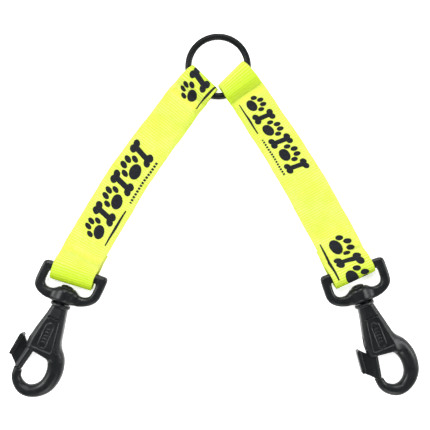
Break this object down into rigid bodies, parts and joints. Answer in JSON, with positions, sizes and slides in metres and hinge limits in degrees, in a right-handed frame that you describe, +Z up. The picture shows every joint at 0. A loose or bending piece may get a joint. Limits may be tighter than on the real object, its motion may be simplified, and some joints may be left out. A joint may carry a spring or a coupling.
{
  "type": "dog lead coupler",
  "caption": "Lead coupler for walking dogs side by side: flat webbing arms spread from a round ring, each ending in a swivel bolt snap with a sprung bolt and thumb tab.",
  "frame": {"origin": "middle of the bounding box, on the surface the coupler lies on", "axes": "+Z up, out of the surface; +Y from the hooks towards the ring; +X across from the left arm to the right arm"},
  "size_m": [0.246, 0.2194, 0.0119],
  "materials": {
    "webbing": "woven",
    "thread": "stitched",
    "ring": "satin",
    "hook": "satin",
    "bolt": "satin",
    "pin": "satin",
    "spring": "wire"
  },
  "bodies": {
    "ring": {"o_ring": "ring"},
    "left_ring_end": {"left_ring_loop": "webbing", "left_ring_bartack": "thread"},
    "left_strap_run": {"left_strap": "webbing"},
    "left_hook_end": {"left_hook_loop": "webbing", "left_hook_bartack": "thread"},
    "left_eye": {"left_swivel_eye": "hook"},
    "left_snap": {"left_hook_body": "hook", "left_swivel_pin": "pin", "left_spring": "spring"},
    "left_plunger": {"left_bolt": "bolt"},
    "right_ring_end": {"right_ring_loop": "webbing", "right_ring_bartack": "thread"},
    "right_strap_run": {"right_strap": "webbing"},
    "right_hook_end": {"right_hook_loop": "webbing", "right_hook_bartack": "thread"},
    "right_eye": {"right_swivel_eye": "hook"},
    "right_snap": {"right_hook_body": "hook", "right_swivel_pin": "pin", "right_spring": "spring"},
    "right_plunger": {"right_bolt": "bolt"}
  },
  "joints": [
    {"name": "left_arm_swing", "type": "hinge", "parent": "ring", "child": "left_ring_end", "pos_m": [0.0023, 0.08967, 0.0038], "axis": [0, 0, 1], "range_deg": [-70, 0]},
    {"name": "left_strap_fold", "type": "hinge", "parent": "left_ring_end", "child": "left_strap_run", "pos_m": [-0.02304, 0.06256, 0.0026], "axis": [0.7983, -0.6022, 0], "range_deg": [-60, 60]},
    {"name": "left_strap_flex", "type": "hinge", "parent": "left_strap_run", "child": "left_hook_end", "pos_m": [-0.07585, -0.01685, 0.0026], "axis": [0.8691, -0.4947, 0], "range_deg": [-60, 60]},
    {"name": "left_eye_tilt", "type": "hinge", "parent": "left_hook_end", "child": "left_eye", "pos_m": [-0.08565, -0.03413, 0.006], "axis": [0.9548, -0.2974, 0], "range_deg": [-90, 90]},
    {"name": "left_hook_swivel", "type": "hinge", "parent": "left_eye", "child": "left_snap", "pos_m": [-0.0902, -0.04873, 0.006], "axis": [0.3843, 0.9232, 0], "continuous": true},
    {"name": "left_bolt_slide", "type": "slide", "parent": "left_snap", "child": "left_plunger", "axis": [0.5678, 0.8231, 0], "range_m": [0, 0.009], "stiffness_N_per_m": 150, "springref_m": -0.004, "deforming": ["left_spring"]},
    {"name": "right_arm_swing", "type": "hinge", "parent": "ring", "child": "right_ring_end", "pos_m": [0.0023, 0.08967, 0.0038], "axis": [0, 0, 1], "range_deg": [0, 70]},
    {"name": "right_strap_fold", "type": "hinge", "parent": "right_ring_end", "child": "right_strap_run", "pos_m": [0.02607, 0.06378, 0.0026], "axis": [0.8213, 0.5705, 0], "range_deg": [-60, 60]},
    {"name": "right_strap_flex", "type": "hinge", "parent": "right_strap_run", "child": "right_hook_end", "pos_m": [0.07333, -0.01478, 0.0026], "axis": [0.8904, 0.4551, 0], "range_deg": [-60, 60]},
    {"name": "right_eye_tilt", "type": "hinge", "parent": "right_hook_end", "child": "right_eye", "pos_m": [0.08309, -0.03374, 0.006], "axis": [0.9472, 0.3206, 0], "range_deg": [-90, 90]},
    {"name": "right_hook_swivel", "type": "hinge", "parent": "right_eye", "child": "right_snap", "pos_m": [0.088, -0.04823, 0.006], "axis": [-0.3827, 0.9239, 0], "continuous": true},
    {"name": "right_bolt_slide", "type": "slide", "parent": "right_snap", "child": "right_plunger", "axis": [-0.1822, 0.9833, 0], "range_m": [0, 0.009], "stiffness_N_per_m": 150, "springref_m": -0.004, "deforming": ["right_spring"]}
  ]
}
